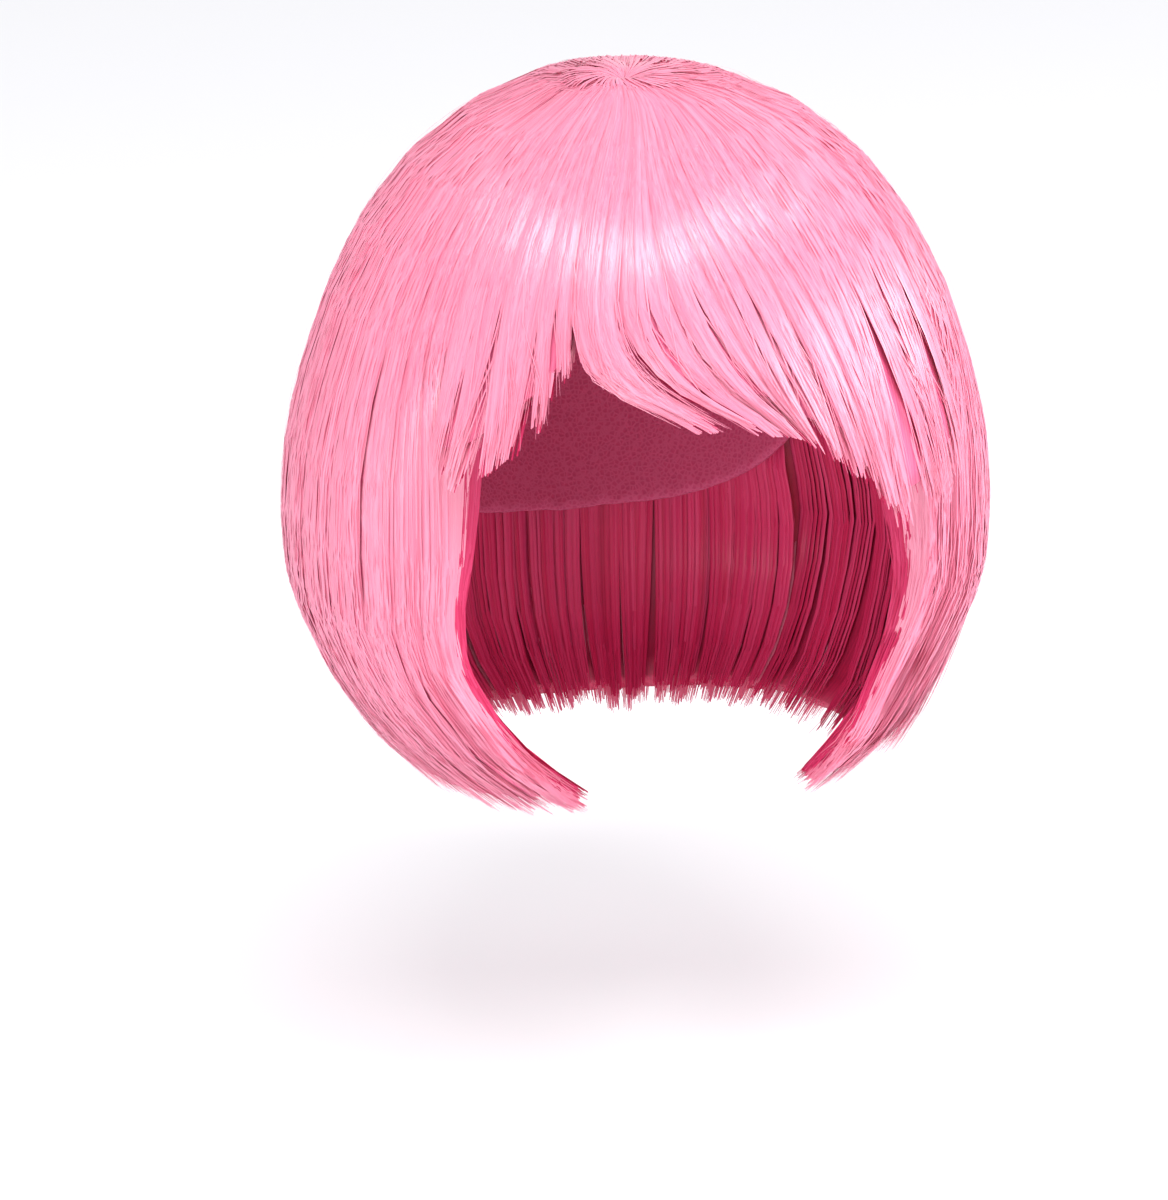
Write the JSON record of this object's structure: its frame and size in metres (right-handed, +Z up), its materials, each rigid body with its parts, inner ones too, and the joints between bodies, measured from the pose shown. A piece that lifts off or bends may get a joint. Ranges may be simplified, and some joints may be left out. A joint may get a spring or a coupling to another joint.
{
  "type": "bob wig",
  "caption": "Chin-length bob wig of synthetic hair on a stretch cap, with a swept fringe and side curtains that curl under at the hem.",
  "frame": {"origin": "top of the cap's inside, where the wig sits on the crown of a head", "axes": "+Z up along the head, the face looks along -Y, the wearer's left is +X"},
  "size_m": [0.2377, 0.2291, 0.2414],
  "materials": {
    "synthetic_hair": "glossy pink synthetic fibre, combed in locks",
    "cap_net": "matt stretch net with a bound edge"
  },
  "bodies": {
    "root": {"cap": "cap_net", "whorl_tuft": "synthetic_hair", "fringe_right": "synthetic_hair", "fringe_centre_lock": "synthetic_hair", "fringe_left": "synthetic_hair", "side_curtain_left": "synthetic_hair", "back_curtain": "synthetic_hair", "side_curtain_right": "synthetic_hair"}
  },
  "joints": []
}
